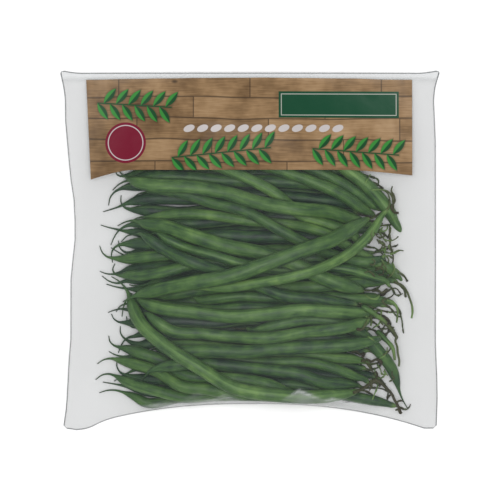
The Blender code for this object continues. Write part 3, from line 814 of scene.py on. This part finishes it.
def finish_panel(mesh, name, node, side):
    """Marks the outermost faces as welded, and turns the panel's faces outwards."""
    for face in mesh.faces:
        if any(vert.is_boundary for vert in face.verts):
            face.material_index = 1
    film_area = sum(face.calc_area() for face in mesh.faces)
    panel = add_piece(mesh, name, node, "clear_film", clear_film, welded_edge)
    if (panel.data.polygons[len(panel.data.polygons) // 2].normal.z > 0) != (side > 0):
        panel.data.flip_normals()
    print(name, "measures", round(film_area * 10000), "cm2")
    return panel


film_tree = BVHTree.FromBMesh(front_mesh)
front = finish_panel(front_mesh, "bag_front", "film_front", 1)
back = finish_panel(back_mesh, "bag_back", "film_back", -1)

# %% [markdown]
# ## The printed band
#
# A printed band crosses the top of the bag. It is ink on the same film, so it
# takes the film's every wave, and its lower corners hang a little. The ground is
# a picture of old boards, with a dark green panel, a dark red disc, a row
# of pale seeds and leafy sprigs. The shader draws it all from two numbers:
# how far right and how far down each point of the band is, in millimetres.

# %% Lay the printed band
LABEL_LEFT, LABEL_RIGHT, LABEL_TOP, LABEL_BOTTOM = -92.4 * MM, 91.4 * MM, 96.4 * MM, 45.5 * MM
LEFT_DIP, RIGHT_DIP, LEFT_FLAT, RIGHT_FLAT = 5.4 * MM, 3.0 * MM, 0.74, 0.6
LABEL_LIFT, LABEL_SLANT, LABEL_ARCH = 0.15 * MM, 0.7 * MM, 1.2 * MM
mesh = bmesh.new()
print_place = mesh.verts.layers.float_vector.new("print_place")
bmesh.ops.create_grid(mesh, x_segments=180, y_segments=50, size=1.0)
for vert in mesh.verts:
    u, v = vert.co.x, vert.co.y
    x = LABEL_LEFT + (LABEL_RIGHT - LABEL_LEFT) * (u + 1) / 2 + LABEL_SLANT * (1 - u) * (1 - v)
    bottom = LABEL_BOTTOM - LEFT_DIP * max((-u - LEFT_FLAT) / (1 - LEFT_FLAT), 0) ** 1.5
    bottom -= RIGHT_DIP * max((u - RIGHT_FLAT) / (1 - RIGHT_FLAT), 0) ** 1.3
    top = LABEL_TOP + LABEL_ARCH * (1 - u * u) + 0.3 * MM * noise.noise(Vector((x * 60, 0, 3)))
    y = bottom + (top - bottom) * (v + 1) / 2
    height = reach(film_tree, x, y, 1, width=0.5 * MM)
    vert.co = (x, y, height + LABEL_LIFT)
    vert[print_place] = (x / MM, (LABEL_TOP - y) / MM, 0.0)
band_mesh = mesh
print("band is", round((LABEL_RIGHT - LABEL_LEFT) / MM), "mm wide")

# %% Boards of the printed ground
BOARD_HEIGHT, BOARD_LENGTH = 12.2, 74.0
printed, shader = new_material("printed_polypropylene_film", {
    "Roughness": 0.45,
    "IOR": 1.49,
    "Specular IOR Level": 0.22,
})
where = add_node(printed, "Attribute", {"attribute_name": "print_place"}).outputs["Vector"]
across, down, _ = add_node(printed, "SeparateXYZ", Vector=where).outputs
bow = add_node(printed, "TexNoise", {"Scale": 0.018, "Detail": 1.0}, Vector=where)
bowed = add_node(printed, "Math", {"operation": "MULTIPLY_ADD", 1: 5.0}, in_0=bow, in_2=down)
rows = add_node(printed, "Math", {"operation": "DIVIDE", 1: BOARD_HEIGHT}, in_0=bowed)
row = add_node(printed, "Math", {"operation": "FLOOR"}, in_0=rows)
shift = add_node(printed, "Math", {"operation": "MULTIPLY", 1: 0.43}, in_0=row)
lengths = add_node(printed, "Math", {"operation": "MULTIPLY_ADD", 1: 1 / BOARD_LENGTH},
                   in_0=across, in_2=shift)
board = add_node(printed, "Math", {"operation": "FLOOR"}, in_0=lengths)
board_key = add_node(printed, "CombineXYZ", X=row, Y=board)
tone = add_node(printed, "TexWhiteNoise", {"noise_dimensions": "3D"}, Vector=board_key).outputs["Value"]
# Grain about 11 mm long and 0.7 mm wide, with another piece of it in each row
grain_spot = add_node(printed, "CombineXYZ", X=across, Y=down, Z=row)
grain_place = add_node(printed, "VectorMath", {"operation": "MULTIPLY", 1: (0.03, 0.5, 7.3)}, in_0=grain_spot)
grain = add_node(printed, "TexNoise", {"Scale": 3.0, "Detail": 6.0, "Distortion": 0.7}, Vector=grain_place)
patches = add_node(printed, "TexNoise", {"Scale": 0.045, "Detail": 3.0, "Roughness": 0.6}, Vector=where)
uneven = add_node(printed, "Mix", {"data_type": "FLOAT", "Factor": 0.68}, in_2=grain, in_3=patches)
weathered = add_node(printed, "Math", {"operation": "MULTIPLY_ADD", 1: 0.16}, in_0=tone, in_2=uneven)
wood = add_node(printed, "ValToRGB", {"stops": [
    (0.34, "#49341f"), (0.5, "#6f563a"), (0.62, "#8a6e4e"), (0.78, "#a08463"),
]}, Fac=weathered)

# Dark joints between the boards, and a few knots
gaps = []
for position, soft, hard in ((rows, 0.05, 0.012), (lengths, 0.006, 0.002)):
    edge = add_node(printed, "Math", {"operation": "PINGPONG", 1: 0.5}, in_0=position)
    gaps.append(add_node(printed, "MapRange", {"From Min": soft, "From Max": hard}, Value=edge))
gap = add_node(printed, "Math", {"operation": "MAXIMUM"}, in_0=gaps[0], in_1=gaps[1])
knot_place = add_node(printed, "Mapping", {"Scale": (0.042, 0.075, 1.0)}, Vector=where)
knots = add_node(printed, "TexVoronoi", {"Scale": 1.0}, Vector=knot_place).outputs["Distance"]
knot = add_node(printed, "MapRange", {"From Min": 0.1, "From Max": 0.04}, Value=knots)
dark = add_node(printed, "Math", {"operation": "MAXIMUM"}, in_0=gap, in_1=knot)
dark_share = add_node(printed, "Math", {"operation": "MULTIPLY", 1: 0.75}, in_0=dark)

# The inks over the boards, in order: how much of each there is at a place, and its colour
inks = [(dark_share, "#2c2018")]
print("boards", BOARD_HEIGHT, "mm high")

# %% Sprigs
# Where each sprig's stem starts in mm right and down, the turn of the stem, and the leaves on each side
SPRIGS = [(-86.0, 13.0, 0.06, 6), (-44.0, 44.0, -0.1, 8), (35.0, 39.0, 0.07, 7)]
LEAF_SPACING, LEAF_LENGTH, LEAF_WIDTH, LEAF_LEAN = 7.0, 11.0, 2.0, 0.94
STEM_HALF = 0.4


def within(position, middle, half):
    """How far inside a stretch a position lies. Outside the stretch this is negative."""
    off = add_node(printed, "Math", {"operation": "SUBTRACT", 1: middle}, in_0=position)
    far = add_node(printed, "Math", {"operation": "ABSOLUTE"}, in_0=off)
    return add_node(printed, "Math", {"operation": "SUBTRACT", 0: half}, in_1=far)


for right, low, turn, leaves in SPRIGS:
    half_stem = leaves / 2 * LEAF_SPACING
    turned = {"vector_type": "TEXTURE", "Location": (right, low, 0), "Rotation": (0, 0, turn)}
    local = add_node(printed, "Mapping", turned, Vector=where)
    along, off, _ = add_node(printed, "SeparateXYZ", Vector=local).outputs
    below = add_node(printed, "Math", {"operation": "LESS_THAN", 1: 0.0}, in_0=off)
    shifted = add_node(printed, "Math", {"operation": "MULTIPLY_ADD", 1: -LEAF_SPACING / 2},
                       in_0=below, in_2=along)
    leaf_root = add_node(printed, "Math", {"operation": "SNAP", 1: LEAF_SPACING}, in_0=shifted)
    leaf_at = add_node(printed, "Math", {"operation": "FLOORED_MODULO", 1: LEAF_SPACING}, in_0=shifted)
    beside = add_node(printed, "Math", {"operation": "ABSOLUTE"}, in_0=off)
    leaf_place = add_node(printed, "CombineXYZ", X=leaf_at, Y=beside)
    leaned = {"vector_type": "TEXTURE", "Rotation": (0, 0, LEAF_LEAN)}
    leaf_axis = add_node(printed, "Mapping", leaned, Vector=leaf_place)
    out, wide, _ = add_node(printed, "SeparateXYZ", Vector=leaf_axis).outputs
    share = add_node(printed, "Math", {"operation": "DIVIDE", 1: LEAF_LENGTH}, in_0=out)
    rest = add_node(printed, "Math", {"operation": "SUBTRACT", 0: 1.0}, in_1=share)
    belly = add_node(printed, "Math", {"operation": "MULTIPLY"}, in_0=share, in_1=rest)
    half_width = add_node(printed, "Math", {"operation": "MULTIPLY", 1: 4 * LEAF_WIDTH}, in_0=belly)
    wide_size = add_node(printed, "Math", {"operation": "ABSOLUTE"}, in_0=wide)
    inside = add_node(printed, "Math", {"operation": "SUBTRACT"}, in_0=half_width, in_1=wide_size)
    leaf_there = within(leaf_root, half_stem - LEAF_SPACING / 2, half_stem)
    whole = add_node(printed, "Math", {"operation": "MINIMUM"}, in_0=inside, in_1=leaf_there)
    stem = add_node(printed, "Math", {"operation": "SUBTRACT", 0: STEM_HALF}, in_1=beside)
    stem_there = within(along, half_stem, half_stem)
    stem_part = add_node(printed, "Math", {"operation": "MINIMUM"}, in_0=stem, in_1=stem_there)
    kept = add_node(printed, "Math", {"operation": "MAXIMUM"}, in_0=whole, in_1=stem_part)
    shade = add_node(printed, "MapRange", {"From Min": -1.1, "From Max": 0.2, "To Max": 0.45}, Value=kept)
    leaf = add_node(printed, "MapRange", {"From Min": -0.1, "From Max": 0.2}, Value=kept)
    half = add_node(printed, "MapRange", {"From Min": -0.2, "From Max": 0.2}, Value=wide)
    lit = add_node(printed, "Math", {"operation": "MULTIPLY"}, in_0=leaf, in_1=half)
    inks += [(shade, "#1a140c"), (leaf, "#0c3f1f"), (lit, "#2f7a30")]
print(len(SPRIGS), "sprigs")

# %% Panel, disc and seeds
PANEL_MIDDLE, PANEL_HALF, PANEL_LINE = (50.0, 14.0), (34.0, 7.6), 1.6
DISC_MIDDLE, DISC_RADIUS, DISC_LINE = (-70.0, 35.5), 11.6, 1.8
LINE_SOFTNESS, EDGE_SOFTNESS = 0.15, 0.2
SEED_ROW, SEED_STEP, SEED_HALF = 27.5, 7.6, (2.9, 2.1)
SEED_ROW_MIDDLE, SEED_ROW_HALF = 7.6, 45.6

into_x = within(across, PANEL_MIDDLE[0], PANEL_HALF[0])
into_y = within(down, PANEL_MIDDLE[1], PANEL_HALF[1])
into_panel = add_node(printed, "Math", {"operation": "MINIMUM"}, in_0=into_x, in_1=into_y)
panel = add_node(printed, "MapRange", {"From Max": EDGE_SOFTNESS}, Value=into_panel)
line = add_node(printed, "MapRange", {"From Max": LINE_SOFTNESS}, Value=within(into_panel, PANEL_LINE, 0.3))
inks += [(panel, "#0b4029"), (line, "#a3a59c")]

middle = {"vector_type": "TEXTURE", "Location": (*DISC_MIDDLE, 0)}
disc_place = add_node(printed, "Mapping", middle, Vector=where)
disc_far = add_node(printed, "VectorMath", {"operation": "LENGTH"}, in_0=disc_place).outputs["Value"]
into_disc = add_node(printed, "Math", {"operation": "SUBTRACT", 0: DISC_RADIUS}, in_1=disc_far)
disc = add_node(printed, "MapRange", {"From Max": EDGE_SOFTNESS}, Value=into_disc)
ring = add_node(printed, "MapRange", {"From Max": LINE_SOFTNESS}, Value=within(into_disc, DISC_LINE, 0.35))
inks += [(disc, "#6a0c26"), (ring, "#b3a9a9")]

seed_x = add_node(printed, "Math", {"operation": "FLOORED_MODULO", 1: SEED_STEP}, in_0=across)
seed_off = add_node(printed, "Math", {"operation": "SUBTRACT", 1: SEED_STEP / 2}, in_0=seed_x)
seed_y = add_node(printed, "Math", {"operation": "SUBTRACT", 1: SEED_ROW}, in_0=down)
seed_lean = add_node(printed, "Math", {"operation": "MULTIPLY_ADD", 1: 0.5}, in_0=seed_y, in_2=seed_off)
seed_spot = add_node(printed, "CombineXYZ", X=seed_lean, Y=seed_y)
seed_place = add_node(printed, "VectorMath", {"operation": "DIVIDE", 1: (*SEED_HALF, 1)}, in_0=seed_spot)
seed_far = add_node(printed, "VectorMath", {"operation": "LENGTH"}, in_0=seed_place).outputs["Value"]
seed = add_node(printed, "MapRange", {"From Min": 1.05, "From Max": 0.95}, Value=seed_far)
into_row = within(across, SEED_ROW_MIDDLE, SEED_ROW_HALF)
in_row = add_node(printed, "Math", {"operation": "GREATER_THAN", 1: 0.0}, in_0=into_row)
seeds = add_node(printed, "Math", {"operation": "MULTIPLY"}, in_0=seed, in_1=in_row)
inks.append((seeds, "#b5afae"))
print(len(inks), "inks over the boards")

# %% Print the inks
ground = wood.outputs[0]
for amount, colour in inks:
    over = {"data_type": "RGBA", 7: linear(colour)}
    ground = add_node(printed, "Mix", over, in_0=amount, in_6=ground).outputs[2]
join_to(printed, ground, shader, "Base Color")
_, ripple = rippled(printed, shader, RIPPLE_SIZE, 3.0, 0.2, 0.4 * MM)
worn = add_node(printed, "MapRange", {"To Min": 0.34, "To Max": 0.48}, Value=ripple)
join_to(printed, worn, shader, "Roughness")
print("printed film has", len(printed.node_tree.nodes), "nodes")

# %% Finish the band
band = add_piece(band_mesh, "printed_band", "header_label", "printed_film", printed)
if band.data.polygons[0].normal.z < 0:
    band.data.flip_normals()
print("band of", len(band.data.vertices), "points")

# %% [markdown]
# ## Floor, light and camera
#
# The bag is seen from straight above on a plain white floor. Two soft lights
# hang high on either side of the line of sight. They reach into the gaps between
# the tails, and throw hardly any shadow past the edge of the bag. A long
# lens far away shows the bag almost without perspective.

# %% Floor, light and camera
scene = bpy.context.scene
scene.view_settings.view_transform = "Standard"
floor_mesh = bmesh.new()
bmesh.ops.create_grid(floor_mesh, x_segments=1, y_segments=1, size=3.0)
floor_data = bpy.data.meshes.new("floor")
floor_mesh.to_mesh(floor_data)
floor_mesh.free()
floor = bpy.data.objects.new("floor", floor_data)
floor.location.z = -0.2 * MM
scene.collection.objects.link(floor)
floor_paint, shader = new_material("matt_white_paint", {"Base Color": linear("#fbfbfb"), "Roughness": 0.9})
floor_data.materials.append(floor_paint)


def soft_light(name, place, size, power):
    light = bpy.data.objects.new(name, bpy.data.lights.new(name, "AREA"))
    light.data.shape = "DISK"
    light.data.size = size
    light.data.energy = power
    light.location = place
    light.rotation_euler = (Vector((0, 0, 0)) - Vector(place)).to_track_quat("-Z", "Y").to_euler()
    scene.collection.objects.link(light)


soft_light("key", (-0.15, 0.05, 2.0), 1.0, 17.0)
soft_light("fill", (0.28, -0.28, 2.0), 1.2, 12.2)
world = bpy.data.worlds.new("studio")
world.use_nodes = True
world.node_tree.nodes["Background"].inputs["Color"].default_value = (1.0, 1.0, 1.0, 1.0)
world.node_tree.nodes["Background"].inputs["Strength"].default_value = 0.57
scene.world = world

# The camera is this far above the upper beans, and sees a square this wide there, a little off the middle
CAMERA_DISTANCE, VIEW_WIDTH, BEAN_LEVEL, VIEW_SHIFT = 2.5, 0.28, 20.0 * MM, 0.56 * MM
SENSOR_WIDTH = 36.0
camera = bpy.data.objects.new("camera", bpy.data.cameras.new("camera"))
camera.data.lens = SENSOR_WIDTH * CAMERA_DISTANCE / VIEW_WIDTH
camera.data.clip_end = 20.0
camera.location = (0.0, VIEW_SHIFT, CAMERA_DISTANCE + BEAN_LEVEL)
scene.collection.objects.link(camera)
scene.camera = camera
print("camera lens", round(camera.data.lens), "mm")
